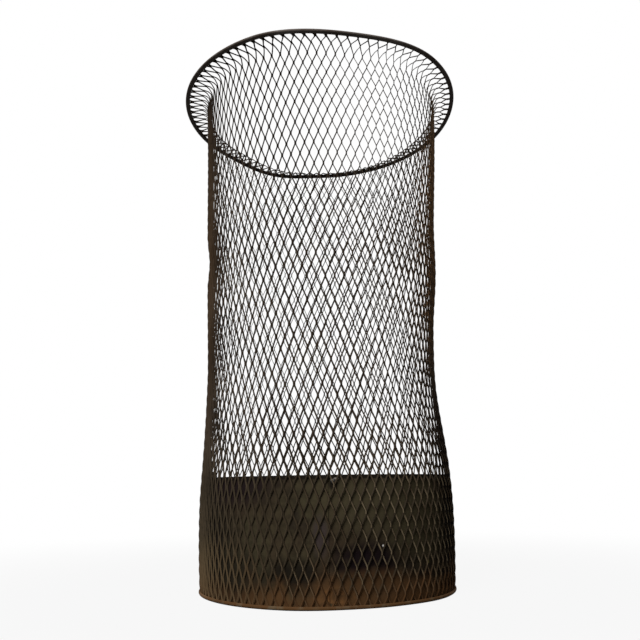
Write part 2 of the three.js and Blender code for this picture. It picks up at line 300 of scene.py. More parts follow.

# Skirt: clouds, mottle and shade all over, a spill and an orange bloom at one place each, and its stains
# with painted shade and light among them
SKIRT_CLOUDS = dict(size=0.040, detail=4, low=0.40, high=0.62, stretch=(1, 1, 0.6))
SKIRT_MOTTLE = dict(size=0.007, detail=5, low=0.35, high=0.75)
SKIRT_SHADE = dict(size=0.028, detail=3, low=0.50, high=0.70, place=(0.2, 0, 0.1))
SKIRT_SPILL = dict(size=0.014, detail=3, low=0.22, high=0.50)
SPILL_PLACE, SPILL_REACH = (0.033, -0.112, 0.036), (0.037, 0.060, 0.021)
SKIRT_BLOOM = dict(size=0.008, detail=3, low=0.35, high=0.60)
BLOOM_PLACE, BLOOM_REACH = (0.006, -0.120, 0.010), (0.022, 0.050, 0.010)
SKIRT_RUST_TOP = 0.026
SKIRT_PALE = ((0.035, -0.112, 0.082), (0.060, 0.060, 0.040), 0.90, PALE_OLIVE)
SKIRT_STAINS_AND_PAINTED_LIGHT = (
    # Painted shade on the left side of the skirt
    ((-0.120, -0.020, 0.060), (0.082, 0.150, 0.110), 0.85, BLACK_ENAMEL_AND_SHADE),
    # Painted light on the right front of the skirt
    ((0.080, -0.085, 0.066), (0.042, 0.060, 0.048), 0.85, PALE_OLIVE),
    # A violet stain and a dark patch
    ((-0.075, -0.090, 0.098), (0.062, 0.060, 0.026), 0.85, VIOLET_STAIN),
    ((-0.026, -0.118, 0.026), (0.032, 0.060, 0.018), 0.85, BLACK_ENAMEL_AND_SHADE),
    # Painted shade on the right side of the skirt
    ((0.115, -0.040, 0.050), (0.030, 0.060, 0.065), 0.85, BLACK_ENAMEL_AND_SHADE),
    # Rust towards the foot and a violet-grey smudge
    ((0.038, -0.113, 0.017), (0.058, 0.060, 0.017), 0.80, RUST_DULL),
    ((0.080, -0.090, 0.004), (0.070, 0.080, 0.018), 0.90, RUST_TAN_AND_HIGHLIGHT),
    ((-0.005, -0.121, 0.056), (0.009, 0.030, 0.022), 0.60, VIOLET_GREY),
)
# Painted shade on the skirt low on the left, between the strands
SKIRT_LOW_LEFT_SHADE = ((-0.090, -0.080, 0.022), (0.062, 0.090, 0.030), 0.65, BLACK_ENAMEL_AND_SHADE)
# Painted shade: a black line along the top of the hem, by how far below the top it starts and is full
HEM_BLACK_FROM, HEM_BLACK_FULL = 0.0042, 0.0026
SKIRT_DULLNESS = dict(least=0.60, more=0.25, size=0.010, detail=4)
SHEET_GRAIN = dict(size=0.003, strength=0.3, depth=0.0004)

# Small marks on the skirt: the painted shade under the rivet, a painted highlight beside it and two chips,
# each with its turn to the right of the front, its height, half size, share and tone
SKIRT_MARKS = (
    (RIVET_TURN, RIVET_HEIGHT - 0.0030, (0.0050, 0.010, 0.0060), 0.9, BLACK_ENAMEL_AND_SHADE),
    (RIVET_TURN + 0.024, RIVET_HEIGHT + 0.0020, (0.0030, 0.010, 0.0010), 0.6, BARE_STEEL_AND_HIGHLIGHT),
    (math.radians(22.3), 0.0475, (0.0010, 0.006, 0.0012), 1, CHIP_WHITE),
    (math.radians(45.5), 0.0322, (0.0010, 0.006, 0.0020), 1, CHIP_OCHRE),
)

# Floor pan: rust blooms and dust
FLOOR_BLOOMS = dict(size=0.030, detail=5, low=0.52, high=0.66)
FLOOR_DUST = dict(size=0.012, detail=5, low=0.55, high=0.80)
FLOOR_DULLNESS = dict(least=0.65, more=0.25, size=0.010, detail=4)

# Foot ring: rust, worn steel and enamel in patches, painted highlights at both sides, painted shade in black
# underneath
FOOT_CLOUDS = dict(size=0.018, detail=5, low=0.35, high=0.65)
FOOT_WEAR = dict(size=0.010, detail=4, low=0.48, high=0.68, place=(0.1, 0.3, 0))
FOOT_ENAMEL = dict(size=0.030, detail=4, low=0.52, high=0.70, place=(0.3, 0.1, 0))
FOOT_BLOOMS = dict(size=0.007, detail=3, low=0.62, high=0.75)
FOOT_SIDE_HIGHLIGHTS = tuple(
    ((side * FOOT_RADIUS, -0.020, 0), (0.045, 0.090, 0.030), 0.8, RUST_TAN_AND_HIGHLIGHT) for side in (-1, 1))
# Painted shade: black along the bottom of the ring, by the heights where it starts and is full
FOOT_BLACK_HEIGHTS = (0.0014, 0.0004)
FOOT_DULLNESS = dict(least=0.55, more=0.35, size=0.006, detail=4)
FOOT_GRAIN = dict(size=0.002, strength=0.35, depth=0.0003)

# Rivet: a painted highlight in bare steel at the upper left of its head, broken up by grain
HIGHLIGHT_LEFT, HIGHLIGHT_UP = 0.45 * RIVET_HEAD, 0.55 * RIVET_HEAD
HIGHLIGHT_PLACE = (
    RIVET_OUTSIDE * math.sin(RIVET_TURN) - HIGHLIGHT_LEFT,
    -RIVET_OUTSIDE * math.cos(RIVET_TURN),
    RIVET_HEIGHT + HIGHLIGHT_UP,
)
HIGHLIGHT_REACH = (0.0016, 0.004, 0.0010)
HIGHLIGHT_LEVELS = (0.2, 0.7)
RIVET_GRAIN, RIVET_GRAIN_DETAIL = 0.0015, 3
RIVET_GRAIN_LEAST, RIVET_GRAIN_MORE = 0.6, 0.8
RIVET_DULL, RIVET_SHINE = 0.55, 0.2

# Studio: the sky's light on the basket, the ground's own shade, the share of white that the camera sees on
# it near the basket, the distances between which that goes up to full white, and the key lamp
SKY_LEVEL = 0.19
GROUND_SIDE = 12
GROUND_SHADE = 0.16
GROUND_WHITE = 0.92
GROUND_FADE = (0.20, 0.90)
KEY_PLACE, KEY_AIM = (-0.8, -1.6, 1.7), (0, 0, 0.2)
KEY_SIZE, KEY_POWER = 1.2, 55

# Picture: the camera stands low in front and looks up, turned a little on its axis
PICTURE_SIDE = 640
FOCAL_PIXELS = 665
SENSOR = 36
NEAR_CLIP = 0.01
CAMERA_PLACE = (0, -0.6794, 0.0951)
CAMERA_PITCH = math.radians(14.015)
CAMERA_ROLL = math.radians(-0.83)
CAMERA_YAW = math.radians(0.29)


# Wall outline

def arc(centre, radius, start, end, steps):
    """Points of an arc in the plane of radius and height, by degrees."""
    turns = [math.radians(start + (end - start) * step / steps) for step in range(steps + 1)]
    return [(centre[0] + radius * math.cos(turn), centre[1] + radius * math.sin(turn)) for turn in turns]


def wall_outline():
    """Middle of the sheet from its edge in the foot ring to its edge in the rim."""
    def curve(*points):
        return [tuple(point) for point in interpolate_bezier(*[Vector(p) for p in points], CURVE_POINTS)]

    foot = (FOOT_SHEET_RADIUS, FOOT_TOP)
    belly = (BELLY_RADIUS, BELLY_HEIGHT)
    waist = (WAIST_RADIUS, WAIST_HEIGHT)
    neck = (NECK_RADIUS, NECK_HEIGHT)
    above_foot = ((foot[0] + 2 * belly[0]) / 3, (2 * FOOT_TOP + BELLY_HEIGHT) / 3)
    below_belly = (BELLY_RADIUS, (FOOT_TOP + 2 * BELLY_HEIGHT) / 3)
    above_belly = (BELLY_RADIUS, BELLY_HEIGHT + BELLY_EASE)
    below_waist = (WAIST_RADIUS, WAIST_HEIGHT - WAIST_EASE)
    above_waist = (WAIST_RADIUS, WAIST_HEIGHT + WAIST_EASE)
    below_neck = (NECK_RADIUS, NECK_HEIGHT - NECK_EASE)
    points = [(FOOT_SHEET_RADIUS, SHEET_FOOT)]
    points += curve(foot, above_foot, below_belly, belly)
    points += curve(belly, above_belly, below_waist, waist)[1:]
    points += curve(waist, above_waist, below_neck, neck)[1:]
    points += arc((NECK_RADIUS + FLARE_BEND, NECK_HEIGHT), FLARE_BEND, 180, 90, FLARE_STEPS)[1:]
    points.append((SHEET_END, RIM_MIDDLE))
    return np.array(points)


wall = wall_outline()
wall_steps = np.diff(wall, axis=0)
wall_lengths = np.hypot(wall_steps[:, 0], wall_steps[:, 1])
wall_distance = np.concatenate([[0.0], np.cumsum(wall_lengths)])
wall_slope = np.gradient(wall, wall_distance, axis=0)
WALL_LENGTH = float(wall_distance[-1])
BEND_END = WALL_LENGTH - (SHEET_END - NECK_RADIUS - FLARE_BEND)
BEND_START = BEND_END - FLARE_BEND * math.pi / 2


def along_wall(distance, out):
    """Radius and height of points by their distance along the sheet and how far they stand out of it."""
    radius = np.interp(distance, wall_distance, wall[:, 0])
    height = np.interp(distance, wall_distance, wall[:, 1])
    slope_radius = np.interp(distance, wall_distance, wall_slope[:, 0])
    slope_height = np.interp(distance, wall_distance, wall_slope[:, 1])
    return radius + out * slope_height, height - out * slope_radius


def wall_radius(height):
    """Radius of the sheet's middle below the flare, by height."""
    below = wall_distance <= BEND_START
    return float(np.interp(height, wall[below, 1], wall[below, 0]))


def skirt_radius(height):
    """Radius of the skirt's outer face, by height."""
    return wall_radius(height) - SKIRT_SET


def front_place(turn, height):
    """A place on the skirt by its turn to the right of the front and its height."""
    radius = skirt_radius(height)
    return (radius * math.sin(turn), -radius * math.cos(turn), height)


# Modelling by hand

def begin(name):
    """Names the primitive that was just added and opens it for editing, all selected."""
    piece = bpy.context.object
    piece.name = name
    piece.data.name = name
    bpy.ops.object.mode_set(mode="EDIT")
    bpy.ops.mesh.select_mode(type="VERT")
    bpy.ops.mesh.select_all(action="SELECT")
    return piece


def draw_profile(name, points):
    """Draws one vertex out from point to point."""
    bpy.ops.object.select_all(action="DESELECT")
    bpy.ops.mesh.primitive_plane_add(size=STARTER_SIZE, location=MIDDLE)
    piece = begin(name)
    bpy.ops.mesh.merge(type="CENTER")
    places = [Vector(point) for point in points]
    bpy.ops.transform.translate(value=places[0])
    for last, place in zip(places, places[1:]):
        bpy.ops.mesh.extrude_region_move(TRANSFORM_OT_translate={"value": place - last})
    return piece


def draw_front_profile(name, section):
    """Draws points of radius and height on the plane through the front of the basket."""
    return draw_profile(
        name, [(radius * math.cos(FRONT), radius * math.sin(FRONT), height) for radius, height in section])


def close_up():
    """Merges what meets and points the faces outwards."""
    bpy.ops.mesh.select_all(action="SELECT")
    bpy.ops.mesh.remove_doubles(threshold=MERGE_REACH)
    bpy.ops.mesh.normals_make_consistent(inside=False)


def spin_full(steps, axis=UP, centre=MIDDLE):
    """Turns the whole profile once round an axis and closes the seam."""
    bpy.ops.mesh.select_all(action="SELECT")
    bpy.ops.mesh.spin(steps=steps, angle=FULL_TURN, center=centre, axis=axis)
    close_up()


def cut_across(height, **settings):
    """Cuts the flat sheet across at a height, and clears one side if asked to."""
    bpy.ops.mesh.select_all(action="SELECT")
    bpy.ops.mesh.bisect(plane_co=(0, 0, height), plane_no=UP, **settings)


def select_faces(piece, wanted):
    """Selects the faces that pass a test."""
    bpy.ops.mesh.select_mode(type="FACE")
    bpy.ops.mesh.select_all(action="DESELECT")
    shape = bmesh.from_edit_mesh(piece.data)
    for face in shape.faces:
        if wanted(face):
            face.select_set(True)
    bmesh.update_edit_mesh(piece.data)


def apply_modifier(piece, kind, **settings):
    """Adds a modifier, sets it and applies it."""
    modifier = piece.modifiers.new(kind.lower(), kind)
    for name, value in settings.items():
        setattr(modifier, name, value)
    bpy.ops.object.modifier_apply(modifier=modifier.name)


def thicken(sheet, thickness):
    """Leaves edit mode and gives a sheet its thickness, in from the face that was drawn."""
    bpy.ops.object.mode_set(mode="OBJECT")
    apply_modifier(sheet, "SOLIDIFY", thickness=thickness, offset=-1, use_even_offset=True)


def leave_shaded(angle=SHEET_SMOOTH):
    """Leaves edit mode and shades the piece smooth, apart from its sharp edges."""
    bpy.ops.object.mode_set(mode="OBJECT")
    bpy.ops.object.shade_smooth_by_angle(angle=angle)


def paint(piece, *materials):
    """Gives a piece its finishes, in the order of their slots."""
    for material in materials:
        piece.data.materials.append(material)


def move_points(piece, move):
    """Moves all of a mesh's vertices by a function of their x, y and z arrays."""
    flat = np.empty(len(piece.data.vertices) * 3)
    piece.data.vertices.foreach_get("co", flat)
    moved = np.stack(move(*flat.reshape(-1, 3).T), axis=1)
    piece.data.vertices.foreach_set("co", moved.ravel())
    piece.data.update()


def smooth_step(value, low, high):
    """Eases from 0 at low to 1 at high."""
    share = np.clip((value - low) / (high - low), 0, 1)
    return share * share * (3 - 2 * share)


def turn_between(turn, place):
    """How far round one turn stands from another, the shorter way."""
    return np.abs((turn - place + math.pi) % FULL_TURN - math.pi)


def stray(x, y, z):
    """Shifts a round shape to the real one: a leaning, dented wall, an oval, dented mouth, a bent foot."""
    turn = np.arctan2(x, -y)
    flare = smooth_step(np.hypot(x, y), NECK_RADIUS, RIM_RADIUS)
    flange = smooth_step(np.hypot(x, y), NECK_RADIUS, RIM_LIP_RADIUS)
    waist = smooth_step(z, SKIRT_TOP, WAIST_LEAN_FROM) * (1 - smooth_step(z, WAIST_LEAN_TO, NECK_LEAN_FULL))
    neck = smooth_step(z, NECK_LEAN_FROM, NECK_LEAN_FULL) * (1 - flare)
    lift = FOOT_LIFT * (1 - smooth_step(z, 0, FLOOR_TOP))
    lift *= 1 - smooth_step(turn_between(turn, FOOT_LIFT_TURN), FOOT_LIFT_FLAT, FOOT_LIFT_REACH)
    drop = NECK_SAG * (1 - smooth_step(turn_between(turn, NECK_SAG_TURN), 0, NECK_SAG_REACH)) * (1 - flange)
    drop += MOUTH_TILT * (1 - np.cos(turn)) / 2 + MOUTH_BOW * np.cos(2 * turn)
    for place, reach, depth in MOUTH_DENTS:
        drop += depth * (1 - smooth_step(turn_between(turn, place), 0, reach))
    push = -MOUTH_SQUARE * np.cos(4 * turn) * np.maximum(np.sin(turn), 0) * flare
    for place, reach, height, rise, depth in WALL_DENTS:
        round_about = 1 - smooth_step(turn_between(turn, place), 0, reach)
        push += depth * round_about * (1 - smooth_step(np.abs(z - height), 0, rise))
    moved_x = x * (1 - MOUTH_SQUEEZE * flare) + WAIST_LEAN * waist + NECK_LEAN * neck + push * np.sin(turn)
    moved_y = y - push * np.cos(turn)
    return moved_x, moved_y, z - drop * smooth_step(z, MOUTH_SOFT, RIM_MIDDLE) + lift


# Enamel on the strands

def coat_at(height):
    """Thickness of the enamel on the strands, by height."""
    run = np.interp(height, (COAT_FULL, COAT_FROM), (COAT_THICKNESS, 0))
    pool = np.interp(height, (POOL_END, COAT_FULL, POOL_FULL, POOL_FROM), (0, 1, 1, 0)) * POOL_THICKNESS
    return float(run + pool)


def rim_coat_at(place):
    """Thickness of the enamel that gathered on the strands of the flange, towards the rim."""
    turn = math.atan2(place.x, -place.y)
    coat = np.interp(turn, RIM_COAT_TURNS, RIM_COATS)
    reach = np.interp(abs(turn), RIM_COAT_REACH_TURNS, RIM_COAT_REACHES)
    return float(np.interp(place.xy.length, (RIM_LIP_RADIUS - reach, RIM_LIP_RADIUS), (0, coat)))


def side_coat_at(place):
    """How much thicker the enamel lies on the front strands, or thinner on the back and right ones."""
    front = np.interp(place.z, (FRONT_COAT_FULL, FRONT_COAT_END), (FRONT_COAT, 0))
    coat = np.interp(place.y, (-FRONT_COAT_HALF, FRONT_COAT_HALF), (front, BACK_COAT))
    rub = np.interp(place.x, (RUB_FROM, RUB_FULL), (0, RIGHT_RUB))
    return float(coat - rub * (place.z < NECK_HEIGHT))


def coat_strands(sleeve):
    """Closes the rolled sleeve up and swells its strands by the enamel that lies on them."""
    bpy.ops.object.mode_set(mode="EDIT")
    close_up()
    shape = bmesh.from_edit_mesh(sleeve.data)
    for vertex in shape.verts:
        coat = coat_at(vertex.co.z) + rim_coat_at(vertex.co) + side_coat_at(vertex.co)
        vertex.co += vertex.normal * vertex.calc_shell_factor() * coat
    bmesh.update_edit_mesh(sleeve.data)


# Pieces

def draw_bonds(broad, edge):
    """A bond of the flat sheet with the two strands that rise from it, and a second half a diamond on."""
    bpy.ops.object.select_all(action="DESELECT")
    bpy.ops.mesh.primitive_cube_add(size=1, location=MIDDLE)
    sleeve = begin("mesh_sleeve_steel")
    paint(sleeve, broad, edge)
    bpy.ops.transform.resize(value=(2 * STRAND_WIDTH, STRAND_THICKNESS, BOND_LENGTH))
    bpy.ops.mesh.bisect(plane_co=MIDDLE, plane_no=(1, 0, 0))
    bpy.ops.mesh.select_all(action="SELECT")
    bpy.ops.transform.rotate(value=-STRAND_LEAN, orient_axis="Z", center_override=MIDDLE)

    def strand_root(face, side):
        middle = face.calc_center_median()
        return face.normal.z > FACES_ALONG and middle.x * side > 0 and middle.z < BOND_LENGTH

    across = STRAND_WIDTH * math.cos(STRAND_LEAN)
    inward = STRAND_WIDTH * math.sin(STRAND_LEAN)
    rise = DIAMOND_LENGTH / 2 - BOND_LENGTH
    for side in (1, -1):
        select_faces(sleeve, lambda face: strand_root(face, side))
        step = Vector((side * (DIAMOND_WIDTH / 2 - across), -side * inward, rise))
        bpy.ops.mesh.extrude_region_move(TRANSFORM_OT_translate={"value": step})
        bpy.ops.mesh.delete(type="ONLY_FACE")
    select_faces(sleeve, lambda face: face.normal.z < -FACES_ALONG)
    bpy.ops.mesh.delete(type="ONLY_FACE")

    through = Vector((-math.sin(STRAND_LEAN), math.cos(STRAND_LEAN), 0))

    def slit_edge(face):
        looks_out = face.normal.y < 0 and face.normal.z < FACES_LEVEL
        return looks_out and abs(face.normal.dot(through)) < FACES_ACROSS

    select_faces(sleeve, slit_edge)
    sleeve.active_material_index = 1
    bpy.ops.object.material_slot_assign()
    bpy.ops.mesh.select_all(action="SELECT")
    bpy.ops.mesh.duplicate_move(
        TRANSFORM_OT_translate={"value": (DIAMOND_WIDTH / 2, 0, DIAMOND_LENGTH / 2)})
    bpy.ops.object.mode_set(mode="OBJECT")
    return sleeve


def spread_sheet(sleeve):
    """Repeats the bonds over the flat sheet, trims it to the wall's length and creases it for the flare."""
    row_pairs = math.ceil(WALL_LENGTH / DIAMOND_LENGTH) + SPARE_ROWS
    for count, step in ((DIAMONDS_AROUND, (DIAMOND_WIDTH, 0, 0)), (row_pairs, (0, 0, DIAMOND_LENGTH))):
        apply_modifier(sleeve, "ARRAY", count=count, use_relative_offset=False,
                       use_constant_offset=True, constant_offset_displace=step)
    bpy.ops.object.mode_set(mode="EDIT")
    close_up()
    last_bonds = (WALL_LENGTH - EDGE_BOND) % DIAMOND_LENGTH
    bpy.ops.transform.translate(value=(0, 0, last_bonds - DIAMOND_LENGTH))
    cut_across(0, use_fill=True, clear_inner=True)
    cut_across(WALL_LENGTH, use_fill=True, clear_outer=True)
    for share in FLARE_CREASES:
        cut_across(BEND_START + share * (BEND_END - BEND_START))
    bpy.ops.object.mode_set(mode="OBJECT")


def roll(x, y, z):
    """Rolls the flat sheet on to the wall: x goes round, z goes up along it and y stands in from it."""
    inset = np.minimum(z, WALL_LENGTH - z)
    squeeze = CRIMP_SQUEEZE + (1 - CRIMP_SQUEEZE) * smooth_step(inset, RIM_DEPTH - RIM_GRIP, RIM_DEPTH)
    flat = np.interp(z, FLAT_DISTANCES, FLAT_SHARES)
    radius, height = along_wall(z, -y * squeeze * flat)
    twist = WAIST_TWIST * smooth_step(height, WAIST_TWIST_FROM, WAIST_TWIST_FULL)
    twist += MOUTH_TWIST * smooth_step(height, MOUTH_TWIST_FROM, MOUTH_TWIST_FULL)
    angle = FRONT + MESH_TURN + twist + x / DIAMOND_WIDTH * FULL_TURN / DIAMONDS_AROUND
    return radius * np.cos(angle), radius * np.sin(angle), height


def make_mesh_sleeve(broad, edge):
    """Expanded sheet: bonds and strands drawn flat, rolled on to the wall and enamelled."""
    sleeve = draw_bonds(broad, edge)
    spread_sheet(sleeve)
    move_points(sleeve, roll)
    move_points(sleeve, stray)
    coat_strands(sleeve)
    leave_shaded(STRAND_SMOOTH)
    return sleeve


def make_rim():
    """Rolled binding: a round bead outside, two lips clinched on to the sheet inside."""
    def open_back(x, y, z):
        share = RIM_OPEN * np.maximum(y / np.hypot(x, y), 0)
        return x, y, RIM_MIDDLE + (z - RIM_MIDDLE) * (1 + share)

    bead = (RIM_RADIUS - RIM_HALF, RIM_MIDDLE)
    slot_end = RIM_RADIUS - RIM_WALL
    lip_rise = RIM_SLOT + RIM_LIP
    section = [(RIM_LIP_RADIUS, RIM_MIDDLE - RIM_SLOT), (RIM_LIP_RADIUS, RIM_MIDDLE - lip_rise)]
    section += arc(bead, RIM_HALF, -BEAD_HALF_TURN, BEAD_HALF_TURN, BEAD_STEPS)
    section += [(RIM_LIP_RADIUS, RIM_MIDDLE + lip_rise), (RIM_LIP_RADIUS, RIM_MIDDLE + RIM_SLOT)]
    section += [(slot_end, RIM_MIDDLE + RIM_SLOT), (slot_end, RIM_MIDDLE - RIM_SLOT), section[0]]
    rim = draw_front_profile("rim_binding", section)
    close_up()
    spin_full(RIM_STEPS)
    leave_shaded()
    move_points(rim, open_back)
    move_points(rim, stray)
    return rim


def make_skirt():
    """Sheet band: follows the wall up to a folded hem, and tucks behind its own edge at the lap."""
    fold_foot = SKIRT_TOP - HEM_FOLD / 2
    hem_foot = SKIRT_TOP - HEM_DEPTH
    heights = np.linspace(SHEET_FOOT, fold_foot, SKIRT_STATIONS)
    section = [(skirt_radius(height), height) for height in heights]
    fold = (skirt_radius(fold_foot) - HEM_FOLD / 2, fold_foot)
    section += arc(fold, HEM_FOLD / 2, 0, 180, HEM_STEPS)[1:]
    section.append((skirt_radius(hem_foot) - HEM_FOLD, hem_foot))
    skirt = draw_front_profile("skirt_sheet", section)
    bpy.ops.mesh.select_all(action="SELECT")
    bpy.ops.transform.rotate(value=-LAP_START, orient_axis="Z", center_override=MIDDLE)
    bpy.ops.mesh.spin(steps=SKIRT_STEPS, angle=FULL_TURN - LAP_RAMP, center=MIDDLE, axis=UP)
    shrink = (1 - LAP_TUCK / BELLY_RADIUS) ** (1 / RAMP_STEPS)
    for _ in range(RAMP_STEPS):
        bpy.ops.mesh.spin(steps=1, angle=LAP_RAMP / RAMP_STEPS, center=MIDDLE, axis=UP)
        bpy.ops.transform.resize(value=(shrink, shrink, 1), center_override=MIDDLE)
    bpy.ops.mesh.spin(steps=LAP_STEPS, angle=LAP_LENGTH, center=MIDDLE, axis=UP)
    close_up()
    thicken(skirt, SKIRT_THICKNESS)
    leave_shaded()
    move_points(skirt, stray)
    return skirt


def make_floor():
    """Round floor with its flange turned down inside the skirt."""
    bend_radius = FLOOR_RADIUS - FLOOR_BEND
    section = [(0, FLOOR_TOP), (bend_radius / 2, FLOOR_TOP)]
    section += arc((bend_radius, FLOOR_TOP - FLOOR_BEND), FLOOR_BEND, 90, 0, FLOOR_BEND_STEPS)
    section.append((FLOOR_RADIUS, SHEET_FOOT))
    pan = draw_front_profile("floor_plate", section)
    spin_full(FLOOR_STEPS)
    thicken(pan, FLOOR_THICKNESS)
    leave_shaded()
    move_points(pan, stray)
    return pan


def make_foot():
    """Rolled ring: a channel round the lower edges of the sheets, its outer lip pressed in."""
    outer_wall = FOOT_RADIUS - FOOT_WALL
    inner_wall = FOOT_INNER + FOOT_WALL
    lip_start = FOOT_TOP - FOOT_EDGE
    section = [(FOOT_INNER + FOOT_EDGE, 0)]
    section += arc((FOOT_RADIUS - FOOT_EDGE, FOOT_EDGE), FOOT_EDGE, -90, 0, FOOT_EDGE_STEPS)
    section += arc((FOOT_RADIUS - FOOT_EDGE, lip_start), FOOT_EDGE, 0, FOOT_LIP_TURN, FOOT_LIP_STEPS)
    section += [(outer_wall, lip_start), (outer_wall, FOOT_WALL), (inner_wall, FOOT_WALL)]
    section += [(inner_wall, FOOT_TOP), (FOOT_INNER, FOOT_TOP)]
    section += arc((FOOT_INNER + FOOT_EDGE, FOOT_EDGE), FOOT_EDGE, 180, 270, FOOT_EDGE_STEPS)
    ring = draw_front_profile("foot_rolled_ring", section)
    close_up()
    spin_full(FOOT_STEPS)
    leave_shaded()
    move_points(ring, stray)
    return ring


def make_rivet():
    """Round-headed rivet through the hem, turned about its own axis and set round to its place."""
    seat = SKIRT_SET - wall_radius(RIVET_HEIGHT)
    tail_seat = seat + HEM_FOLD + SKIRT_THICKNESS
    tail_end = tail_seat + RIVET_TAIL_HEIGHT
    section = [(0, tail_end), (RIVET_TAIL, tail_end), (RIVET_TAIL, tail_seat), (RIVET_SHANK, tail_seat)]
    section += [(RIVET_SHANK, seat), (RIVET_HEAD, seat)]
    for degrees in RIVET_HEAD_TURNS:
        turn = math.radians(degrees)
        section.append((RIVET_HEAD * math.cos(turn), seat - (RIVET_OUTSIDE + seat) * math.sin(turn)))
    rivet = draw_profile("hem_rivet", [(radius, along, RIVET_HEIGHT) for radius, along in section])
    spin_full(RIVET_STEPS, axis=(0, 1, 0), centre=(0, 0, RIVET_HEIGHT))
    bpy.ops.mesh.select_all(action="SELECT")
    bpy.ops.transform.rotate(value=-RIVET_TURN, orient_axis="Z", center_override=MIDDLE)
    leave_shaded()
    return rivet


# Shader maths

class Socket:
    """One socket of a node tree, so that shader maths is written as Python expressions."""

    def __init__(self, socket):
        self.socket = socket

    def node(self, kind, settings=None, inputs=None, output=0):
        """Adds a node: its settings first, then the values or links of its sockets."""
        tree = self.socket.id_data
        made = tree.nodes.new(kind)
        for name, value in (settings or {}).items():
            setattr(made, name, value)
        for name, value in (inputs or {}).items():
            if isinstance(value, Socket):
                tree.links.new(value.socket, made.inputs[name])
            else:
                made.inputs[name].default_value = value
        return Socket(made.outputs[output])

    def math(self, operation, first, second):
        """A Math node on two values or numbers."""
        return self.node("ShaderNodeMath", {"operation": operation}, {0: first, 1: second})

    def vector(self, operation, inputs, output=0):
        """A Vector Math node."""
        return self.node("ShaderNodeVectorMath", {"operation": operation}, inputs, output)

    def __add__(self, other):
        return self.math("ADD", self, other)

    def __radd__(self, other):
        return self.math("ADD", other, self)

    def __sub__(self, other):
        return self.math("SUBTRACT", self, other)

    def __rsub__(self, other):
        return self.math("SUBTRACT", other, self)

    def __mul__(self, other):
        return self.math("MULTIPLY", self, other)

    def __rmul__(self, other):
        return self.math("MULTIPLY", other, self)

    def highest(self, other):
        """The higher of two values."""
        return self.math("MAXIMUM", self, other)

    def ease(self, low, high):
        """0 at low and 1 at high, with a smooth step between."""
        return self.node("ShaderNodeMapRange", {"interpolation_type": "SMOOTHSTEP"},
                         {"Value": self, "From Min": low, "From Max": high})

    def mix(self, first, second):
        """Colour that goes from the first to the second as this value goes from 0 to 1."""
        return self.node("ShaderNodeMix", {"data_type": "RGBA"}, {0: self, 6: first, 7: second}, output=2)

    def cover(self, tone, mask, share=1):
        """This colour with a tone laid over it where a mask is 1, by a share."""
        return (share * mask).mix(self, tone)

    def spotted(self, where, *spots):
        """This colour with spots laid over it, each with its place, half size, share and tone."""
        colour = self
        for place, reach, share, tone in spots:
            colour = colour.cover(tone, where.spot(place, reach), share)
        return colour

    def length(self):
        """Length of a vector."""
        return self.vector("LENGTH", {0: self}, output="Value")

    def out(self):
        """Distance from the basket's axis, for Object coordinates."""
        return self.vector("MULTIPLY", {0: self, 1: (1, 1, 0)}).length()

    def height(self):
        """Height above the ground, for Object coordinates."""
        return self.node("ShaderNodeSeparateXYZ", {}, {"Vector": self}, output=2)

    def spot(self, centre, size):
        """1 at a place and 0 beyond an oval of that half size round it, for Object coordinates."""
        away = self.vector("SUBTRACT", {0: self, 1: centre})
        return away.vector("DIVIDE", {0: away, 1: size}).length().ease(1, SPOT_CORE)

    def noise(self, size, detail, stretch=(1, 1, 1), place=MIDDLE):
        """Cloudy noise on these coordinates, with clouds of about that size in metres."""
        scaled = self.node("ShaderNodeMapping", {}, {"Vector": self, "Scale": stretch, "Location": place})
        return scaled.node("ShaderNodeTexNoise", {}, {"Vector": scaled, "Scale": 1 / size, "Detail": detail})

    def patches(self, size, detail, low, high, **settings):
        """Cloudy patches: 0 where the noise is under its low level and 1 where it is over its high one."""
        return self.noise(size, detail, **settings).ease(low, high)


def link(value, socket):
    """Feeds a value to a socket of the same node tree."""
    socket.id_data.links.new(value.socket, socket)


# Finishes, with painted light and shade

def begin_material(name, gloss=ENAMEL_GLOSS):
    """A new material, its Object coordinates and its surface shader."""
    material = bpy.data.materials.new(name)
    material.use_nodes = True
    tree = material.node_tree
    shader = tree.nodes["Principled BSDF"]
    shader.inputs["Specular IOR Level"].default_value = gloss
    coordinates = tree.nodes.new("ShaderNodeTexCoord")
    return material, Socket(coordinates.outputs["Object"]), shader


def dull(where, shader, least, more, size, detail):
    """Roughness in cloudy patches, from the least upwards."""
    link(least + more * where.noise(size, detail), shader.inputs["Roughness"])


def roughen(where, shader, size, strength, depth):
    """Fine bumps of a size on the surface."""
    grain = where.noise(size, GRAIN_DETAIL)
    bump = grain.node("ShaderNodeBump", {}, {"Height": grain, "Strength": strength, "Distance": depth})
    link(bump, shader.inputs["Normal"])


def rust_towards_foot(where, top):
    """1 at the ground and 0 above a height, broken up by blotches."""
    blotches = where.noise(RUST_BLOTCH, RUST_DETAIL)
    return (where.height() + (blotches - NOISE_MIDDLE) * RUST_STRAY).ease(top, RUST_FULL)


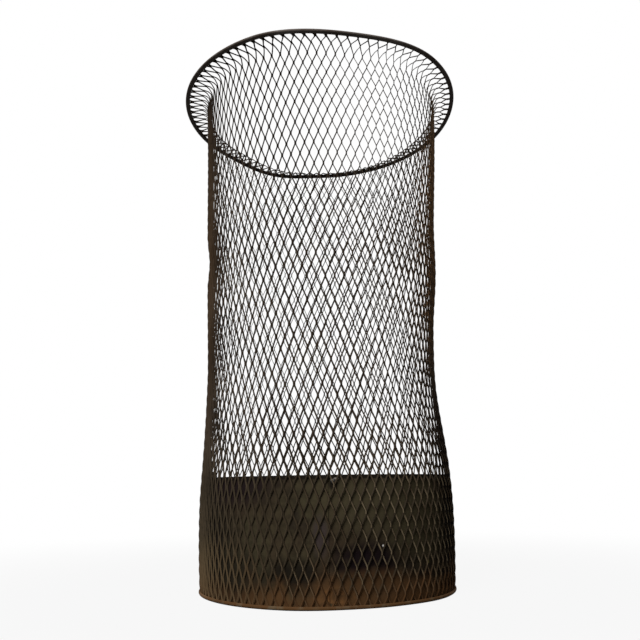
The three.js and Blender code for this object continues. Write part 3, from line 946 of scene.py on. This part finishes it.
def mesh_finish_and_painted_light():
    """Browned black enamel on the broad faces of the strands, with painted light at the sides and lower left
    and painted shade on the right.
    """
    material, where, shader = begin_material("mesh_enamel_and_painted_light")
    colour = where.patches(**STRAND_PATCHES).mix(DARK_SEPIA, SEPIA_ENAMEL)
    colour = colour.cover(OLIVE_TAN, where.height().ease(*STRAND_TAN_HEIGHTS), share=0.6)
    colour = colour.cover(BLACK_ENAMEL_AND_SHADE, where.height().ease(*STRAND_BLACK_HEIGHTS), share=0.55)
    # painted light on the side strands and painted shade on the right ones
    colour = colour.spotted(where, *MESH_PAINTED_LIGHT_AND_SHADE)
    colour = colour.cover(BLACK_ENAMEL_AND_SHADE, where.patches(**STRAND_SPECKLE), share=0.5)
    colour = colour.cover(RUST_BROWN, rust_towards_foot(where, STRAND_RUST_TOP))
    # painted light on the lower left strands
    colour = colour.spotted(where, MESH_LOW_LEFT_LIGHT)
    link(colour, shader.inputs["Base Color"])
    dull(where, shader, **STRAND_DULLNESS)
    roughen(where, shader, **STRAND_GRAIN)
    return material


def edge_finish_and_painted_shade():
    """Slit edges of the strands, where the enamel is rubbed thin, with painted shade over a patch at the
    front left.
    """
    material, where, shader = begin_material("mesh_worn_edge_and_shade")
    # painted shade: the worn tan is held back over a patch at the front left
    edge_shade = where.spot(EDGE_SHADE_PLACE, EDGE_SHADE_REACH)
    worn = where.patches(**EDGE_WEAR) * (1 - EDGE_SHADE_SHARE * edge_shade)
    colour = worn.mix(BROWN_ENAMEL, WORN_TAN)
    colour = colour.cover(RUST_BROWN, rust_towards_foot(where, EDGE_RUST_TOP), share=0.7)
    colour = colour.cover(SEPIA_ENAMEL, where.height().ease(*EDGE_SEPIA_HEIGHTS))
    link(colour, shader.inputs["Base Color"])
    dull(where, shader, **EDGE_DULLNESS)
    return material


def rim_finish_and_painted_sheen():
    """Worn black enamel with a dull painted sheen of grey and brown on the bead, and painted shade inside
    it.
    """
    material, where, shader = begin_material("rim_enamel_and_painted_sheen")
    # painted sheen: grey and brown patches on the bead, and a darker painted shade tone inside it
    bead = where.patches(**RIM_PATCHES).mix(RIM_SHEEN_GREY, RIM_BROWN)
    outside = where.out().ease(RIM_RADIUS - BEAD_TONE_FROM, RIM_RADIUS - BEAD_TONE_FULL)
    colour = outside.mix(RIM_UNDER_SHADE, bead)
    colour = colour.spotted(where, RIM_FAR_SIDE)
    colour = colour.cover(WORN_TAN, where.patches(**RIM_CHIPS), share=0.5)
    link(colour, shader.inputs["Base Color"])
    dull(where, shader, **RIM_DULLNESS)
    roughen(where, shader, **RIM_GRAIN)
    return material


def skirt_finish_and_painted_light():
    """Dull olive-black enamel, stained brown and violet-black, rusty along the foot, with painted shade at
    the sides, low on the left and along the hem, and painted light at the right front.
    """
    material, where, shader = begin_material("skirt_enamel_and_painted_light")
    colour = where.patches(**SKIRT_CLOUDS).mix(OLIVE_ENAMEL, BROWN_ENAMEL)
    colour = colour.cover(BLACK_ENAMEL_AND_SHADE, where.patches(**SKIRT_MOTTLE), share=0.5)
    colour = colour.cover(VIOLET_STAIN, where.patches(**SKIRT_SHADE), share=0.7)
    colour = colour.spotted(where, SKIRT_PALE)
    spill = where.spot(SPILL_PLACE, SPILL_REACH) * where.patches(**SKIRT_SPILL)
    colour = colour.cover(VIOLET_STAIN, spill)
    # stains, with painted shade at both sides and painted light at the right front
    colour = colour.spotted(where, *SKIRT_STAINS_AND_PAINTED_LIGHT)
    colour = colour.cover(RUST_DULL, rust_towards_foot(where, SKIRT_RUST_TOP))
    # painted shade low on the left
    colour = colour.spotted(where, SKIRT_LOW_LEFT_SHADE)
    bloom = where.spot(BLOOM_PLACE, BLOOM_REACH) * where.patches(**SKIRT_BLOOM)
    colour = colour.cover(RUST_ORANGE, bloom)
    # painted shade along the top of the hem
    hem = where.height().ease(SKIRT_TOP - HEM_BLACK_FROM, SKIRT_TOP - HEM_BLACK_FULL)
    colour = colour.cover(BLACK_ENAMEL_AND_SHADE, hem, share=0.9)
    for turn, height, reach, share, tone in SKIRT_MARKS:
        colour = colour.cover(tone, where.spot(front_place(turn, height), reach), share)
    link(colour, shader.inputs["Base Color"])
    dull(where, shader, **SKIRT_DULLNESS)
    roughen(where, shader, **SHEET_GRAIN)
    return material


def floor_finish():
    """Dull enamel with rust blooms and dust."""
    material, where, shader = begin_material("floor_enamel")
    colour = where.patches(**FLOOR_BLOOMS).mix(OLIVE_ENAMEL, RUST_BROWN)
    colour = colour.cover(WORN_TAN, where.patches(**FLOOR_DUST), share=0.3)
    link(colour, shader.inputs["Base Color"])
    dull(where, shader, **FLOOR_DULLNESS)
    roughen(where, shader, **SHEET_GRAIN)
    return material


def foot_finish_and_painted_light():
    """Rust-brown steel with little enamel left, painted highlights at both ends and painted shade along its
    bottom.
    """
    material, where, shader = begin_material("foot_rust_and_painted_light")
    colour = where.patches(**FOOT_CLOUDS).mix(RUST_BROWN, RUST_DULL)
    colour = colour.cover(WORN_TAN, where.patches(**FOOT_WEAR), share=0.6)
    # painted highlights at both ends of the ring
    colour = colour.spotted(where, *FOOT_SIDE_HIGHLIGHTS)
    colour = colour.cover(BROWN_ENAMEL, where.patches(**FOOT_ENAMEL), share=0.7)
    colour = colour.cover(RUST_ORANGE, where.patches(**FOOT_BLOOMS), share=0.5)
    # painted shade along the bottom of the ring
    colour = colour.cover(BLACK_ENAMEL_AND_SHADE, where.height().ease(*FOOT_BLACK_HEIGHTS), share=0.7)
    link(colour, shader.inputs["Base Color"])
    dull(where, shader, **FOOT_DULLNESS)
    roughen(where, shader, **FOOT_GRAIN)
    return material


def rivet_finish_and_painted_highlight():
    """Black enamel, with a painted highlight in bare-steel colour where the head stands out to the upper
    left.
    """
    material, where, shader = begin_material("rivet_enamel_and_painted_highlight", gloss=RIVET_GLOSS)
    grain = where.noise(RIVET_GRAIN, RIVET_GRAIN_DETAIL)
    # painted highlight in bare steel at the upper left of the head
    shine = where.spot(HIGHLIGHT_PLACE, HIGHLIGHT_REACH) * (RIVET_GRAIN_LEAST + RIVET_GRAIN_MORE * grain)
    highlight = shine.ease(*HIGHLIGHT_LEVELS)
    link(highlight.mix(BLACK_ENAMEL_AND_SHADE, BARE_STEEL_AND_HIGHLIGHT), shader.inputs["Base Color"])
    link(RIVET_DULL - RIVET_SHINE * highlight, shader.inputs["Roughness"])
    return material


# Stage, light and camera

def seen_directly(tree):
    """1 for what the camera, mirrors and glass see, and 0 for light on the object."""
    path = tree.nodes.new("ShaderNodeLightPath")
    camera = Socket(path.outputs["Is Camera Ray"])
    seen = camera.highest(Socket(path.outputs["Is Glossy Ray"]))
    return seen.highest(Socket(path.outputs["Is Transmission Ray"]))


def make_ground():
    """Pale ground that keeps the basket's shadow and fades out to a white surround."""
    bpy.ops.object.select_all(action="DESELECT")
    bpy.ops.mesh.primitive_plane_add(size=GROUND_SIDE, location=MIDDLE)
    ground = bpy.context.object
    ground.name = "studio_floor"
    material, where, pale = begin_material("studio_floor", gloss=0)
    tree = material.node_tree
    pale.inputs["Base Color"].default_value = (GROUND_SHADE, GROUND_SHADE, GROUND_SHADE, 1)
    pale.inputs["Roughness"].default_value = 1
    white = GROUND_WHITE + (1 - GROUND_WHITE) * where.length().ease(*GROUND_FADE)
    share = white * seen_directly(tree)
    glow = share.node("ShaderNodeEmission", {}, {"Color": WHITE, "Strength": 1.0})
    both = share.node("ShaderNodeMixShader", {}, {0: share, 1: Socket(pale.outputs[0]), 2: glow})
    link(both, tree.nodes["Material Output"].inputs["Surface"])
    paint(ground, material)


def make_sky():
    """White surround for the camera, and a plain low light on the object."""
    world = bpy.data.worlds.new("studio")
    bpy.context.scene.world = world
    world.use_nodes = True
    sky = world.node_tree.nodes["Background"]
    sky.inputs["Color"].default_value = WHITE
    link(SKY_LEVEL + (1 - SKY_LEVEL) * seen_directly(world.node_tree), sky.inputs["Strength"])


def add_softbox(name, place, target, size, power):
    """A large soft lamp aimed at a point."""
    lamp = bpy.data.lights.new(name, "AREA")
    lamp.shape = "DISK"
    lamp.size = size
    lamp.energy = power
    holder = bpy.data.objects.new(name, lamp)
    bpy.context.collection.objects.link(holder)
    holder.location = place
    holder.rotation_euler = (Vector(target) - Vector(place)).to_track_quat("-Z", "Y").to_euler()


def make_camera():
    """Camera at the photograph's place, with its lens and small turn."""
    data = bpy.data.cameras.new("camera")
    data.sensor_width = SENSOR
    data.lens = FOCAL_PIXELS / PICTURE_SIDE * SENSOR
    data.clip_start = NEAR_CLIP
    holder = bpy.data.objects.new("camera", data)
    bpy.context.collection.objects.link(holder)
    holder.location = CAMERA_PLACE
    aim = Euler((math.pi / 2 + CAMERA_PITCH, 0, CAMERA_YAW)).to_quaternion()
    holder.rotation_mode = "QUATERNION"
    holder.rotation_quaternion = aim @ Quaternion(UP, CAMERA_ROLL)
    bpy.context.scene.camera = holder


bpy.context.scene.view_settings.view_transform = "Standard"
make_camera()
make_ground()
make_sky()
add_softbox("key", KEY_PLACE, KEY_AIM, KEY_SIZE, KEY_POWER)

sleeve = make_mesh_sleeve(mesh_finish_and_painted_light(), edge_finish_and_painted_shade())
rim = make_rim()
skirt = make_skirt()
pan = make_floor()
foot = make_foot()
rivet = make_rivet()

paint(rim, rim_finish_and_painted_sheen())
paint(skirt, skirt_finish_and_painted_light())
paint(pan, floor_finish())
paint(foot, foot_finish_and_painted_light())
paint(rivet, rivet_finish_and_painted_highlight())

pieces = (
    (sleeve, "mesh_sleeve", "mesh"),
    (rim, "rim_channel", "rim"),
    (skirt, "skirt_band", "skirt"),
    (pan, "floor_pan", "floor"),
    (foot, "foot_ring", "foot"),
    (rivet, "lap_rivet", "rivet"),
)
for piece, node, slot in pieces:
    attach(piece, "root")
    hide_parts(node)
